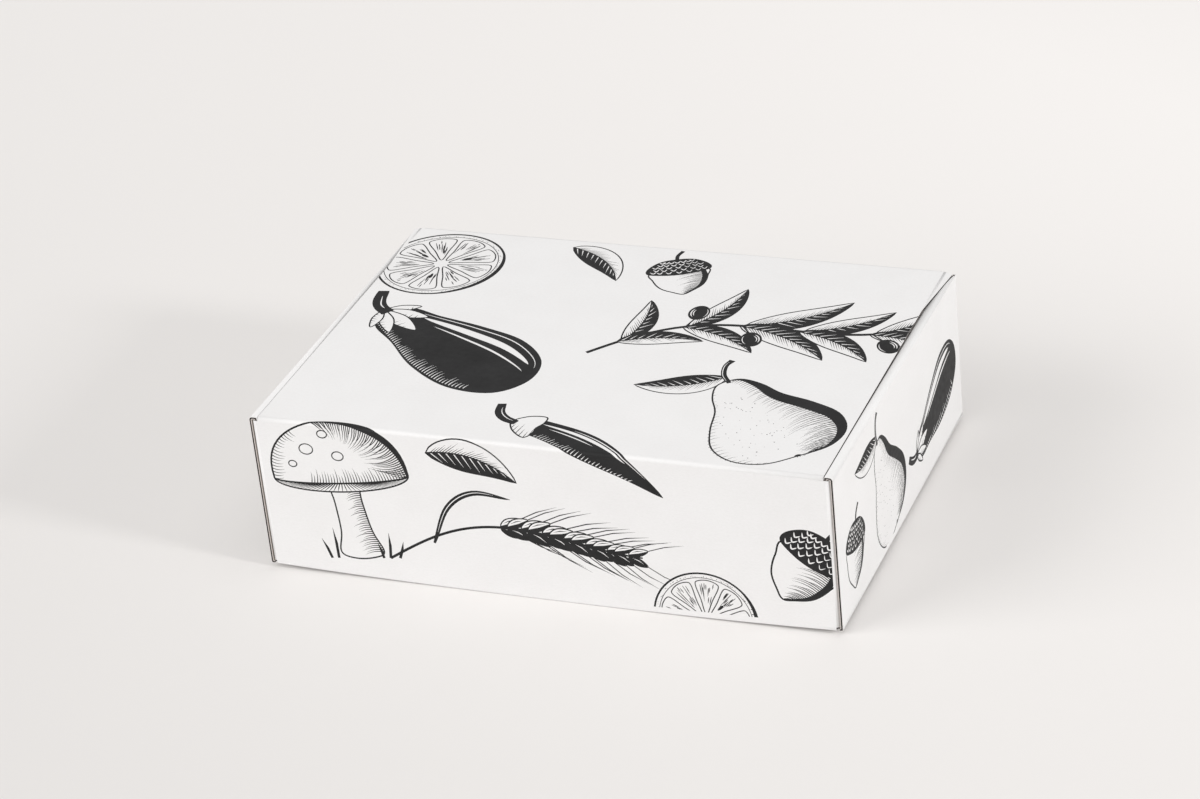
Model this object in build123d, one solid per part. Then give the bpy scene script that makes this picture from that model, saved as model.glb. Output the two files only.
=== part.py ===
"""Roll-end mailer box of corrugated board: a tray folded from its blank, and the tuck-in lid hinged to it.

Frame: millimetres, +Z up, origin under the middle of the base. The hinge wall faces -Y and the lid tucks in
behind the front wall at +Y.
"""

import math
import os

from build123d import *

# Outside of the closed box
width = 340.0
depth = 240.0
height = 98.0

# Board
board = 1.5
crease = 0.5
layer_gap = 0.2

# Rolled side walls
wall_layers = 3
side_inset = 0.2
relief_length = 52.0
relief_lead = 2.0
inner_corner = 6.0

# Locking tabs of the rolled side walls and their slots in the base
tab_count = 2
tab_length = 42.0
tab_spacing = 104.0
tab_taper = 3.0
tab_recess = 0.2
slot_clearance = 0.2

# Corner flaps of the hinge wall and the front wall
corner_length = 74.0
corner_taper = 5.0
corner_round = 8.0

# Front wall
front_drop = 1.8

# Lid, tuck flap and ears
lid_clearance = 0.3
lid_front_clearance = 0.5
lid_rise = 1.2
hinge_gap = 0.04
tuck_drop = 62.0
swing_clearance = 0.4
ear_clearance = 0.2
ear_length = 48.0
ear_taper = 5.0
ear_round = 14.0

# Reach of the cutting solids past what they cut
overrun = 5.0

# Turns of the creases, degrees
square = 90.0
half_crease = 45.0

# Sizes that follow
bend = crease + board
rolled = wall_layers * board + (wall_layers - 1) * layer_gap
half_width = width / 2
half_depth = depth / 2
fold_x = half_width - board - layer_gap - bend
inner_face_x = half_width - rolled
lid_half = inner_face_x - lid_clearance
front_top = height - front_drop
shoulder = height - bend - layer_gap
roll_end = half_depth - side_inset
relief_back = half_depth - relief_length
relief_slope = rolled / (roll_end - relief_lead - relief_back)
crease_y = -half_depth + bend
crease_z = height - bend
hinge_y = crease_y - bend * math.cos(math.radians(half_crease))
hinge_z = crease_z + bend * math.sin(math.radians(half_crease))
hinge_slack = math.degrees(hinge_gap / 2 / bend)
hinge_turn = half_crease - hinge_slack


def strip_section(start, heading, steps, left=True):
    """Face of a folded strip of board, walked along its printed side from start.

    A step is ("run", length) or ("fold", degrees); the board lies to the left or right of the walk,
    and a fold turns towards the board.
    """
    side = 1 if left else -1
    edges = []
    outer = Vector(*start)
    inner = outer + Vector(board, 0).rotate(Axis.Z, heading + side * square)
    first = Line(inner, outer)
    for kind, amount in steps:
        if kind == "run":
            travel = Vector(amount, 0).rotate(Axis.Z, heading)
            edges.append(Line(outer, outer + travel))
            edges.append(Line(inner, inner + travel))
            outer = outer + travel
            inner = inner + travel
            continue
        centre = outer + Vector(bend, 0).rotate(Axis.Z, heading + side * square)
        begin = heading - side * square
        outer_arc = CenterArc(centre, bend, begin, side * amount)
        inner_arc = CenterArc(centre, crease, begin, side * amount)
        edges += [outer_arc, inner_arc]
        outer = outer_arc @ 1
        inner = inner_arc @ 1
        heading += side * amount
    return make_face([first, *edges, Line(outer, inner)])


def block(low, high):
    """Box between two corners."""
    size = [b - a for a, b in zip(low, high)]
    middle = [(a + b) / 2 for a, b in zip(low, high)]
    return Pos(*middle) * Box(*size)


def tab_places():
    """Middles of the locking tabs along a side wall."""
    first = -tab_spacing * (tab_count - 1) / 2
    return [first + tab_spacing * index for index in range(tab_count)]


def base_panel():
    """Flat base between the creases, with the slots that take the locking tabs."""
    plate = block((-half_width + bend, -half_depth + bend, 0), (half_width - bend, half_depth - bend, board))
    slot_half = tab_length / 2 + slot_clearance
    for place in tab_places():
        slot = block(
            (inner_face_x - slot_clearance, place - slot_half, -overrun),
            (inner_face_x + board + slot_clearance, place + slot_half, overrun),
        )
        plate = plate - slot - mirror(slot, Plane.YZ)
    return plate


def roll_relief():
    """Slanting cut that clears the front end of a roll for the wing of the lid."""
    inboard = inner_face_x - overrun
    outline = [
        (inboard, relief_back),
        (inner_face_x, relief_back),
        (half_width, roll_end - relief_lead),
        (half_width + overrun, roll_end - relief_lead),
        (half_width + overrun, roll_end + overrun),
        (inboard, roll_end + overrun),
    ]
    plan = make_face(Polyline(*outline, close=True))
    return Pos(0, 0, shoulder) * extrude(plan, height + overrun - shoulder)


def inner_outline():
    """Outline of a side wall's inner panel with its locking tabs, as Y and Z."""
    low = board + layer_gap
    tab_end = tab_recess
    back = -half_depth + bend + layer_gap
    front = relief_back
    points = [(back, height), (back, low + inner_corner), (back + inner_corner, low)]
    for place in tab_places():
        half = tab_length / 2
        points += [
            (place - half, low),
            (place - half + tab_taper, tab_end),
            (place + half - tab_taper, tab_end),
            (place + half, low),
        ]
    points += [(front - inner_corner, low), (front, low + inner_corner), (front, height)]
    return points


def side_wall():
    """Rolled side wall on +X: outer panel, narrow top strip and inner panel with its tabs."""
    steps = [
        ("fold", square),
        ("run", height - 2 * bend),
        ("fold", square),
        ("run", rolled - 2 * bend),
        ("fold", square),
    ]
    section = Plane.XZ * strip_section((half_width - bend, 0), 0, steps)
    roll = extrude(section, roll_end, both=True)
    outline = make_face(Polyline(*inner_outline(), close=True))
    inner = Pos(inner_face_x, 0, 0) * extrude(Plane.YZ * outline, board)
    inner = split(inner, Plane.XY.offset(height - bend), keep=Keep.BOTTOM)
    return roll + inner - roll_relief()


def corner_flap():
    """Corner flap at the +X end of the front wall: its crease and its tapered panel behind the side wall."""
    low = bend + layer_gap
    top = shoulder
    turn = strip_section((fold_x, -half_depth), 0, [("fold", square)])
    crease_part = Pos(0, 0, low) * extrude(turn, top - low)
    root = -half_depth + bend
    tip = root + corner_length
    outline = [(root, low), (tip, low + corner_taper), (tip, top - corner_taper), (root, top)]
    face = make_face(Polyline(*outline, close=True))
    face = fillet(face.vertices().sort_by(Axis.X)[-2:], corner_round)
    panel = Pos(fold_x + crease, 0, 0) * extrude(Plane.YZ * face, board)
    return mirror(crease_part + panel, Plane.XZ)


def front_wall():
    """Front wall with a raw top edge and a corner flap at each end."""
    steps = [("fold", square), ("run", front_top - bend)]
    section = Plane.YZ * strip_section((half_depth - bend, 0), 0, steps)
    wall = extrude(section, fold_x, both=True)
    flap = corner_flap()
    ends = block(
        (lid_half, half_depth - bend - overrun, shoulder),
        (half_width, half_depth + overrun, height + overrun),
    )
    return wall - ends - mirror(ends, Plane.YZ) + flap + mirror(flap, Plane.YZ)


def hinge_wall():
    """Hinge wall with the tray's half of the lid crease and a corner flap at each end."""
    steps = [("fold", square), ("run", height - 2 * bend), ("fold", hinge_turn)]
    section = Plane.YZ * strip_section((-half_depth + bend, 0), 2 * square, steps, left=False)
    wall = extrude(section, fold_x, both=True)
    flap = mirror(corner_flap(), Plane.XZ)
    ends = block(
        (lid_half, -half_depth - overrun, shoulder),
        (half_width, -half_depth + bend + overrun, height + overrun),
    )
    return wall - ends - mirror(ends, Plane.YZ) + flap + mirror(flap, Plane.YZ)


def tray():
    """Tray folded from one sheet."""
    wall = side_wall()
    return base_panel() + wall + mirror(wall, Plane.YZ) + front_wall() + hinge_wall()


def tuck_lean(front_crease_y):
    """Lean and run of the tuck flap whose free edge just clears the front wall as the lid swings."""
    reach = half_depth - board - swing_clearance - hinge_y
    below_hinge = hinge_z - (height - tuck_drop)
    edge_y = hinge_y + math.sqrt(reach**2 - below_hinge**2)
    across = edge_y - front_crease_y
    down = crease_z - (height - tuck_drop)
    span = math.hypot(across, down)
    lean = math.degrees(math.asin(bend / span) - math.atan2(across, down))
    return lean, math.sqrt(span**2 - bend**2)


def ear(flap_plane, lean, run):
    """Ear at the +X end of the tuck flap, folded back along the side wall."""
    root_x = lid_half - ear_clearance - bend
    turn = strip_section((root_x, 0), 0, [("fold", square)])
    slope = math.tan(math.radians(lean))
    top = bend + bend * slope
    crease_part = Pos(0, 0, top) * extrude(turn, run - top)
    tip = bend + ear_length
    outline = [
        (bend, top),
        (tip, top + ear_length * slope + ear_taper),
        (tip, run - ear_taper),
        (bend, run),
    ]
    face = make_face(Polyline(*outline, close=True))
    face = fillet(face.vertices().sort_by(Axis.X)[-2:], ear_round)
    panel = Pos(root_x + crease, 0, 0) * extrude(Plane.YZ * face, board)
    return flap_plane * (crease_part + panel)


def wing(front_crease_y):
    """Front corner of the lid at +X, spread over the cut-back roll and bent down to it."""
    reach = relief_slope * (front_crease_y - relief_back)
    outline = [(lid_half, relief_back), (lid_half + reach, front_crease_y), (lid_half, front_crease_y)]
    plate = extrude(make_face(Polyline(*outline, close=True)), board)
    rise = lid_rise * (front_crease_y - hinge_y) / depth
    fall = height + rise - shoulder - lid_clearance
    droop = math.degrees(math.asin(fall / math.hypot(reach, board)) - math.atan2(board, reach))
    return (Pos(0, 0, height - board) * plate).rotate(Axis((lid_half, 0, height), (0, 1, 0)), droop)


def lid():
    """Lid panel with its half of the crease and its wings, the tuck flap and the two ears."""
    front_crease_y = half_depth - board - lid_front_clearance - bend
    lean, run = tuck_lean(front_crease_y)
    start = Vector(crease_y, crease_z) + Vector(bend, 0).rotate(Axis.Z, square + hinge_turn)
    top_steps = [("fold", hinge_turn), ("run", front_crease_y - crease_y)]
    panel = extrude(Plane.YZ * strip_section(start, hinge_turn, top_steps, left=False), lid_half, both=True)
    flap_half = lid_half - ear_clearance - bend
    turn_section = strip_section((front_crease_y, height), 0, [("fold", square + lean)], left=False)
    turn = extrude(Plane.YZ * turn_section, flap_half, both=True)
    down = Vector(0, -math.sin(math.radians(lean)), -math.cos(math.radians(lean)))
    out = Vector(0, math.cos(math.radians(lean)), -math.sin(math.radians(lean)))
    top = Vector(0, front_crease_y, crease_z) + out * bend
    flap_plane = Plane(origin=top, x_dir=(1, 0, 0), z_dir=down)
    flap = flap_plane * block((-flap_half, 0, 0), (flap_half, board, run))
    side = ear(flap_plane, lean, run)
    corner = wing(front_crease_y)
    closed = panel + corner + mirror(corner, Plane.YZ) + turn + flap + side + mirror(side, Plane.YZ)
    hinge = Axis((0, hinge_y, hinge_z), (1, 0, 0))
    return closed.rotate(hinge, math.degrees(math.asin(lid_rise / depth)))


os.makedirs("parts", exist_ok=True)
for name, shape in (("tray", tray()), ("lid", lid())):
    export_step(shape, f"parts/{name}.step")
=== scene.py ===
"""Looks of a roll-end mailer box: one printed blank of corrugated board, folded into tray, lid and crease.

The whole sheet is drawn flat in millimetres: U across and V along the blank, with its base around the origin,
and W through the board from the printed face inwards. Folding then carries every point to its place.
"""

import math

import bpy
import numpy as np
from numpy.linalg import norm
from mathutils import Matrix, Vector
from mathutils.geometry import delaunay_2d_cdt


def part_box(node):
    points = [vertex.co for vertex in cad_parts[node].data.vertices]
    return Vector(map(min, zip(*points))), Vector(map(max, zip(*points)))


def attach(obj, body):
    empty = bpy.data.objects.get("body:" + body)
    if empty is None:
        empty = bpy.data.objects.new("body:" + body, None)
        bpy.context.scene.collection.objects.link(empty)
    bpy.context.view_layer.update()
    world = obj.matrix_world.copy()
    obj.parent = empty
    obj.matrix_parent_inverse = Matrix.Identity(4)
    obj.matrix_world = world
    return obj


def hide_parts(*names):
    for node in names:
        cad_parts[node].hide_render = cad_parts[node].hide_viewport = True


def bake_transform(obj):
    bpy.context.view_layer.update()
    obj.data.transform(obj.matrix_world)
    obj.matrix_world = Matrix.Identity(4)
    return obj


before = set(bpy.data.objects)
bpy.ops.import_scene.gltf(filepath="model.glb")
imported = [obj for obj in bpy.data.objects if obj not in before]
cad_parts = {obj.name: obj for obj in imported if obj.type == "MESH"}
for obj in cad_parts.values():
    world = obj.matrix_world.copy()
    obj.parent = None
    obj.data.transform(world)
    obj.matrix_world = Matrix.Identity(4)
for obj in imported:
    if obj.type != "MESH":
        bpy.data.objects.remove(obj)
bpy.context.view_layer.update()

MM = 0.001

# Outside of the tray, from its part in model.glb
tray_low, tray_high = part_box("tray")
width = (tray_high.x - tray_low.x) / MM
depth = (tray_high.y - tray_low.y) / MM
height = (tray_high.z - tray_low.z) / MM

# Board
board = 1.5
crease = 0.5
layer_gap = 0.2
outer_liner = 0.25
inner_liner = 0.45
groove = 0.55
flute_pitch = 3.2
flute_wall = 0.2
flute_inset = 0.05
flute_step = 0.45

# Rolled side walls
wall_layers = 3
side_inset = 0.2
relief_length = 52.0
relief_lead = 2.0
inner_corner = 6.0

# Locking tabs and their slots
tab_places = (-52.0, 52.0)
tab_length = 42.0
tab_taper = 3.0
tab_recess = 0.2
slot_clearance = 0.2

# Corner flaps, front wall, lid, tuck flap and ears
corner_length = 74.0
corner_taper = 5.0
corner_round = 8.0
front_drop = 1.8
lid_clearance = 0.3
lid_front_clearance = 0.5
lid_rise = 1.2
wing_gap = 0.7
tuck_drop = 62.0
swing_clearance = 0.4
ear_clearance = 0.2
ear_length = 48.0
ear_taper = 5.0
ear_round = 14.0

# Print and its pen widths
print_margin = 4.0
print_bleed = 8.0
print_seed = 11
outline_pen = 0.95
hatch_pen = 0.62
thinnest_pen = 0.06

# Drawing of the folds
fold_steps = 10
fold_pad = 0.5
strip_margin = 1.0

# How near points count as on a line or as one, and the sine of a corner that counts as straight
near = 1e-3
hair = 1e-4
knit = 1e-5
weld_digits = 4
straight_sine = 0.05

# Base that sags between its two sides
base_sag = 2.8
sag_power = 2.5
sag_steps = 24

# Printed face of the creases at the base and inside the rolls, which are pressed tight
tight_radius = 0.7

# Surface of the papers, in metres, and its gloss
coat_grain = 0.0006
coat_stretch = 2.0
coat_relief = 0.00002
coat_smooth = 0.52
coat_rough = 0.66
coat_specular = 0.25
panel_wave = 0.04
panel_relief = 0.0002
raw_relief = 0.00004
raw_specular = 0.2
edge_relief = 0.00003

# Sizes that follow
bend = crease + board
quarter = bend * math.pi / 2
half_width = width / 2
half_depth = depth / 2
base_u = half_width - bend
base_v = half_depth - bend
wall_run = height - 2 * bend
rolled = wall_layers * board + (wall_layers - 1) * layer_gap
fold_u = half_width - board - layer_gap - bend
inner_face_x = half_width - rolled
lid_half = inner_face_x - lid_clearance
flap_half = lid_half - ear_clearance - bend
side_v = half_depth - side_inset
roll_2 = base_u + quarter + wall_run
roll_3 = roll_2 + quarter + rolled - 2 * bend
inner_u = roll_3 + quarter
print_foot = base_u + quarter + print_margin - bend
wall_v = base_v + quarter
hinge_v = wall_v + wall_run
lid_v = hinge_v + quarter
hinge_y = -half_depth + bend - bend * math.sqrt(0.5)
hinge_z = height - bend + bend * math.sqrt(0.5)
front_crease_y = half_depth - board - lid_front_clearance - bend
tuck_v = lid_v + front_crease_y + base_v
seam_tray = hinge_v - strip_margin
seam_lid = lid_v + strip_margin
shoulder = height - bend - layer_gap
relief_back = half_depth - relief_length
relief_slope = rolled / (side_v - relief_lead - relief_back)
wing_v = lid_v + relief_back + base_v
wing_reach = relief_slope * (front_crease_y - relief_back)
wing_rise = lid_rise * (front_crease_y - hinge_y) / depth
wing_fall = height + wing_rise - shoulder - wing_gap
wing_droop = math.asin(wing_fall / math.hypot(wing_reach, board)) - math.atan2(board, wing_reach)


def tuck_lean():
    """Lean and run of the tuck flap, whose free edge clears the front wall as the lid swings."""
    reach = half_depth - board - swing_clearance - hinge_y
    below_hinge = hinge_z - (height - tuck_drop)
    across = hinge_y + math.sqrt(reach**2 - below_hinge**2) - front_crease_y
    down = tuck_drop - bend
    span = math.hypot(across, down)
    return math.asin(bend / span) - math.atan2(across, down), math.sqrt(span**2 - bend**2)


lean, flap_run = tuck_lean()
flap_v = tuck_v + bend * (math.pi / 2 + lean)
ear_top = bend + bend * math.tan(lean)


# Flat outlines

def mirrored(half):
    """Outline from its +U half."""
    return half + [(-u, v) for u, v in half[::-1]]


def rounded(points, corners, radius, steps=6):
    """Outline with some of its corners rounded."""
    out = []
    for k, point in enumerate(points):
        if k not in corners:
            out.append(point)
            continue
        p = np.array(point)
        a = np.array(points[k - 1]) - p
        b = np.array(points[k + 1]) - p
        a /= norm(a)
        b /= norm(b)
        half = math.acos(a @ b) / 2
        centre = p + (a + b) / norm(a + b) * radius / math.sin(half)
        start = p + a * radius / math.tan(half) - centre
        end = p + b * radius / math.tan(half) - centre
        turn = math.pi - 2 * half
        for part in np.linspace(0, turn, steps + 1):
            arc = (start * math.sin(turn - part) + end * math.sin(part)) / math.sin(turn)
            out.append(tuple(centre + arc))
    return out


def wall_at(z):
    """Distance from the middle of the blank to height z on the hinge wall or the front wall."""
    return wall_v + z - bend


def corner_flap(end):
    """Corner flap at the +U end of a wall, from the wall's top to its foot; end is 1 for the front wall."""
    low = bend + layer_gap
    root = fold_u + quarter
    tip = root + corner_length
    points = [
        (fold_u, end * wall_at(shoulder)),
        (root, end * wall_at(shoulder)),
        (tip, end * wall_at(shoulder - corner_taper)),
        (tip, end * wall_at(low + corner_taper)),
        (root, end * wall_at(low)),
        (fold_u, end * wall_at(low)),
    ]
    return rounded(points, (2, 3), corner_round)


def relief_cut(steps=5):
    """Slanting cut over the top of a roll, from its inner face to its outer face."""
    points = []
    for turn in np.linspace(0, math.pi / 2, steps):
        across = bend * (1 - math.cos(turn)) - tightened(quarter - bend * turn)[0]
        points.append((inner_u - bend * turn, relief_back + across / relief_slope))
    for turn in np.linspace(0, math.pi / 2, steps):
        across = rolled - bend + bend * math.sin(turn)
        points.append((roll_2 + quarter - bend * turn, relief_back + across / relief_slope))
    return points


def rolled_side():
    """Outline of the +U side wall from its hinge end to its front end."""
    low = inner_u + height - bend - board - layer_gap
    tab_end = inner_u + height - bend - tab_recess
    back = -half_depth + bend + layer_gap
    points = [(base_u, -side_v), (inner_u, -side_v), (inner_u, back)]
    points += [(low - inner_corner, back), (low, back + inner_corner)]
    for place in tab_places:
        half = tab_length / 2
        points += [(low, place - half), (tab_end, place - half + tab_taper)]
        points += [(tab_end, place + half - tab_taper), (low, place + half)]
    points += [(low, relief_back - inner_corner), (low - inner_corner, relief_back)]
    points += relief_cut()
    relief_u = roll_2 - layer_gap
    points += [(relief_u, side_v - relief_lead), (relief_u, side_v), (base_u, side_v)]
    return points


def tray_outline():
    """Outline of the tray."""
    half = [(lid_half, -seam_tray), (lid_half, -wall_at(shoulder))]
    half += corner_flap(-1)
    half += [(fold_u, -base_v), (base_u, -base_v)]
    half += rolled_side()
    half += [(base_u, base_v), (fold_u, base_v)]
    half += corner_flap(1)[::-1]
    half += [(lid_half, wall_at(shoulder)), (lid_half, wall_at(height - front_drop))]
    return mirrored(half)


def slot_outlines():
    """Slots in the base that take the locking tabs."""
    slots = []
    for side in (1, -1):
        for place in tab_places:
            inner = side * (inner_face_x - slot_clearance)
            outer = side * (inner_face_x + board + slot_clearance)
            low = place - tab_length / 2 - slot_clearance
            high = place + tab_length / 2 + slot_clearance
            slots.append([(inner, low), (outer, low), (outer, high), (inner, high)])
    return slots


def lid_outline():
    """Lid panel with its wings, tuck flap and ears."""
    root = flap_half + quarter
    tip = root + ear_length
    slope = math.tan(lean)
    ear = [
        (flap_half, -flap_v - ear_top),
        (root, -flap_v - ear_top),
        (tip, -flap_v - ear_top - ear_length * slope - ear_taper),
        (tip, -flap_v - flap_run + ear_taper),
        (root, -flap_v - flap_run),
    ]
    half = [(lid_half, -seam_lid), (lid_half, -wing_v)]
    half += [(lid_half + wing_reach, -tuck_v), (flap_half, -tuck_v)]
    half += rounded(ear, (2, 3), ear_round)
    return mirrored(half)


# Folding

def zones(flat):
    """Points of the blank that the kinds of fold carry, where a wall's end is 1 for the front wall."""
    u, v = np.abs(flat[:, 0]), flat[:, 1]
    found = {
        "side": (u > base_u - hair) & (np.abs(v) < side_v + near),
        "lid": -v > hinge_v,
        "wing": (-v > wing_v - near) & (-v < tuck_v + near),
        "flap": -v > flap_v,
    }
    for end in (1, -1):
        found["wall", end] = (end * v > base_v) & ~found["side"]
        found["corner", end] = (end * v > side_v + near) & (np.abs(v) < hinge_v)
    return found


# Each fold: axis across the crease, side, where it starts, turn, zone that it carries and span of its lines
folds = []
for side in (1, -1):
    folds.append((0, side, lid_half, wing_droop, "wing", (-tuck_v, -wing_v)))
    folds.append((0, side, flap_half, math.pi / 2, "flap", (-flap_v - flap_run, -flap_v - ear_top)))
folds.append((1, -1, tuck_v, math.pi / 2 + lean, "lid", (-flap_half, flap_half)))
folds.append((1, -1, hinge_v, math.pi / 2, "lid", (-lid_half, lid_half)))
for side in (1, -1):
    for start in (roll_3, roll_2, base_u):
        folds.append((0, side, start, math.pi / 2, "side", (-side_v, side_v)))
    for end in (1, -1):
        span = sorted((end * wall_at(bend + layer_gap), end * wall_at(shoulder)))
        folds.append((0, side, fold_u, math.pi / 2, ("corner", end), span))
for end in (1, -1):
    folds.append((1, end, base_v, math.pi / 2, ("wall", end), (-fold_u, fold_u)))


# The lid crease turns between the inner ends of the two panels that it joins
crease_middle = np.array([0.0, -half_depth + bend, height - bend])
crease_reach = np.array([0.0, 0.5, 0.5]) * crease
blend_start = crease_middle - crease_reach
blend_end = crease_middle + crease_reach


def lid_share(points):
    """How far points of the box follow the lid, from 0 on the hinge wall to 1 on the lid panel."""
    way = blend_end - blend_start
    t = np.clip((points - blend_start) @ way / (way @ way), 0, 1)
    return t * t * (3 - 2 * t)


def tightened(s):
    """How far the printed face of a crease moves out of its round bend into a tight one."""
    phi = np.clip(s / bend, 0, math.pi / 2)
    straight = bend - tight_radius
    arc = tight_radius * math.pi / 2
    walk = np.clip(s / quarter, 0, 1) * (2 * straight + arc)
    turn = np.clip((walk - straight) / tight_radius, 0, math.pi / 2)
    outward = np.minimum(walk, straight) + tight_radius * np.sin(turn) - bend * np.sin(phi)
    upward = tight_radius * (1 - np.cos(turn)) + np.maximum(walk - straight - arc, 0)
    upward -= bend * (1 - np.cos(phi))
    return np.array([outward, upward])


def folded(flat):
    """Places on the closed box of points of the blank, in millimetres."""
    points = flat.copy()
    found = zones(flat)
    for axis, side, start, turn, zone, _ in folds:
        carried = found[zone] & (side * flat[:, axis] > start)
        s = side * flat[carried, axis] - start
        phi = np.clip(s / bend, 0, turn)
        run = side * points[carried, axis] - start - bend * phi
        rise = points[carried, 2] - bend
        points[carried, axis] = side * (start + run * np.cos(phi) - rise * np.sin(phi))
        points[carried, 2] = bend + run * np.sin(phi) + rise * np.cos(phi)
        if start in (base_u, base_v, roll_3):
            outward, upward = tightened(s) * (1 - flat[carried, 2] / board)
            points[carried, axis] += side * outward
            points[carried, 2] += upward
    past = flat[:, 1] < -seam_tray + hair
    past &= (np.abs(flat[:, 0]) < lid_half + near) | (-flat[:, 1] > wing_v - near)
    share = np.where(-flat[:, 1] > seam_lid - hair, 1.0, lid_share(points)) * past
    angle = share * math.asin(lid_rise / depth)
    y = points[:, 1] - hinge_y
    z = points[:, 2] - hinge_z
    points[:, 1] = hinge_y + y * np.cos(angle) - z * np.sin(angle)
    points[:, 2] = hinge_z + y * np.sin(angle) + z * np.cos(angle)
    outward = (np.abs(points[:, 0]) / half_width) ** sag_power
    points[:, 2] += base_sag * outward * np.clip(1 - points[:, 2] / height, 0, 1)
    return points


def fold_lines():
    """Lines along the creases at which the sheet is divided."""
    lines = []
    for axis, side, start, turn, _, (low, high) in folds:
        arc = bend * turn
        places = [start - fold_pad, start + arc + fold_pad]
        places += [start + arc * k / fold_steps for k in range(fold_steps + 1)]
        for place in places:
            a = (side * place, low)
            b = (side * place, high)
            lines.append((a, b) if axis == 0 else (a[::-1], b[::-1]))
    return lines


def sag_lines():
    """Lines across the base and its two walls that let them follow the sag."""
    lines = []
    for k in range(1, sag_steps):
        u = base_u * (2 * k / sag_steps - 1)
        lines.append(((u, -wall_at(shoulder)), (u, wall_at(shoulder))))
    return lines


def in_fold(flat):
    """Points that lie in a crease."""
    found = np.zeros(len(flat), bool)
    for axis, side, start, turn, _, (low, high) in folds:
        s = side * flat[:, axis] - start
        other = flat[:, 1 - axis]
        found |= (s > -fold_pad) & (s < bend * turn + fold_pad) & (other > low) & (other < high)
    return found


# Line art

rng = np.random.default_rng(print_seed)


def spline(points, size=1.0, closed=False, steps=7):
    """Smooth curve through points, which are shares of a size."""
    p = np.asarray(points, float) * size
    if closed:
        p = np.vstack([p[-1], p, p[0], p[1]])
    else:
        p = np.vstack([2 * p[0] - p[1], p, 2 * p[-1] - p[-2]])
    t = np.arange(steps)[:, None] / steps
    runs = []
    for a, b, c, d in zip(p[:-3], p[1:-2], p[2:-1], p[3:]):
        runs.append(b + 0.5 * t * (c - a + t * (2 * a - 5 * b + 4 * c - d + t * (3 * (b - c) + d - a))))
    if not closed:
        runs.append(p[-2:-1])
    return np.vstack(runs)


def blob(points, size=1.0, steps=6):
    """Smooth closed outline through points, which are shares of a size."""
    return spline(points, size, True, steps)


def turns(start, end, count):
    """Even steps from one turn to another, given in half circles."""
    return np.linspace(start * math.pi, end * math.pi, count)


def full_turn(count):
    """Even steps once round."""
    return turns(0, 2, count + 1)[:-1]


def around(turn, across, up=None):
    """Points at some turns of a circle or an ellipse about the origin."""
    up = across if up is None else up
    return np.c_[across * np.cos(turn), up * np.sin(turn)]


def fanned(points, radius, middle, spread):
    """Points given as shares of a radius and of a spread to either side of a middle turn."""
    reach, turn = np.array(points, float).T
    return around(middle + turn * spread, 1.0) * (reach * radius)[:, None]


def normals(path):
    """Unit normals to the left of a path."""
    along = np.gradient(path, axis=0)
    along /= np.maximum(norm(along, axis=1, keepdims=True), 1e-9)
    return np.c_[-along[:, 1], along[:, 0]]


def beside(path, distance):
    """Path moved to its left by a distance that may change along it."""
    return path + normals(path) * np.reshape(distance, (-1, 1))


def area(points):
    """Signed area of an outline, positive if it runs anticlockwise."""
    x, y = points.T
    return (x @ np.roll(y, -1) - y @ np.roll(x, -1)) / 2


def resample(path, count):
    """Points spaced evenly along a path."""
    steps = np.r_[0, np.cumsum(norm(np.diff(path, axis=0), axis=1))]
    at = np.linspace(0, steps[-1], count)
    return np.column_stack([np.interp(at, steps, path[:, k]) for k in (0, 1)])


def turned(points, degrees):
    """Points turned about the origin."""
    a = math.radians(degrees)
    return np.asarray(points, float) @ np.array([[math.cos(a), math.sin(a)], [-math.sin(a), math.cos(a)]])


def heading(run):
    """Direction of a run in degrees."""
    return math.degrees(math.atan2(run[1], run[0]))


class Drawing:
    """Shapes of a motif, later ones over earlier ones."""

    def __init__(self):
        self.shapes = []

    def fill(self, points, black=True):
        self.shapes.append((points, black))

    def band(self, one, other, black=True):
        """Area between two lines."""
        self.fill(np.vstack([one, other[::-1]]), black)

    def stroke(self, path, weight, start=0.25, end=0.25, black=True):
        """Pen line that swells between its ends, whose widths are shares of the full width."""
        path = np.asarray(path, float)
        t = np.linspace(0, 1, len(path))
        swell = np.sin(math.pi * t) ** 0.6
        ends = start + (end - start) * t
        half = np.maximum(weight * (ends + (1 - ends) * swell), thinnest_pen) / 2
        self.band(beside(path, half), beside(path, -half), black)

    def shine(self, path, weight, start=0.1, end=0.1):
        """White pen line."""
        self.stroke(path, weight, start, end, False)

    def ring(self, outline, weight=outline_pen):
        """Closed outline with white inside."""
        closed = np.vstack([outline[-1], outline, outline[0]])
        outward = math.copysign(weight / 2, -area(outline))
        self.fill(beside(closed, outward)[1:-1])
        self.fill(beside(closed, -outward)[1:-1], False)

    def comb(self, edge, towards, count, weight=hatch_pen, reach=(0.3, 0.5), bow=0.0, black=True):
        """Hatch lines that start on an edge and thin out towards another line."""
        t = np.linspace(0, 1, 7)[:, None]
        half = weight / 2 * (1 - 0.92 * t**1.5)
        for p, q in zip(resample(edge, int(count)), resample(towards, int(count))):
            way = (q - p) * rng.uniform(*reach)
            arch = np.array([-way[1], way[0]]) * bow
            path = p + way * t + arch * 4 * t * (1 - t)
            self.band(beside(path, half), beside(path, -half), black)

    def dots(self, places, size):
        """Stipple."""
        star = around(full_turn(6), 1.0)
        for place in places:
            self.fill(place + star * size * rng.uniform(0.3, 0.6))

    def add(self, other, place, turn, size=1.0):
        """Another motif, scaled, turned in degrees and moved to its place."""
        for points, black in other.shapes:
            self.shapes.append((turned(points * size, turn) + place, black))


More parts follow.
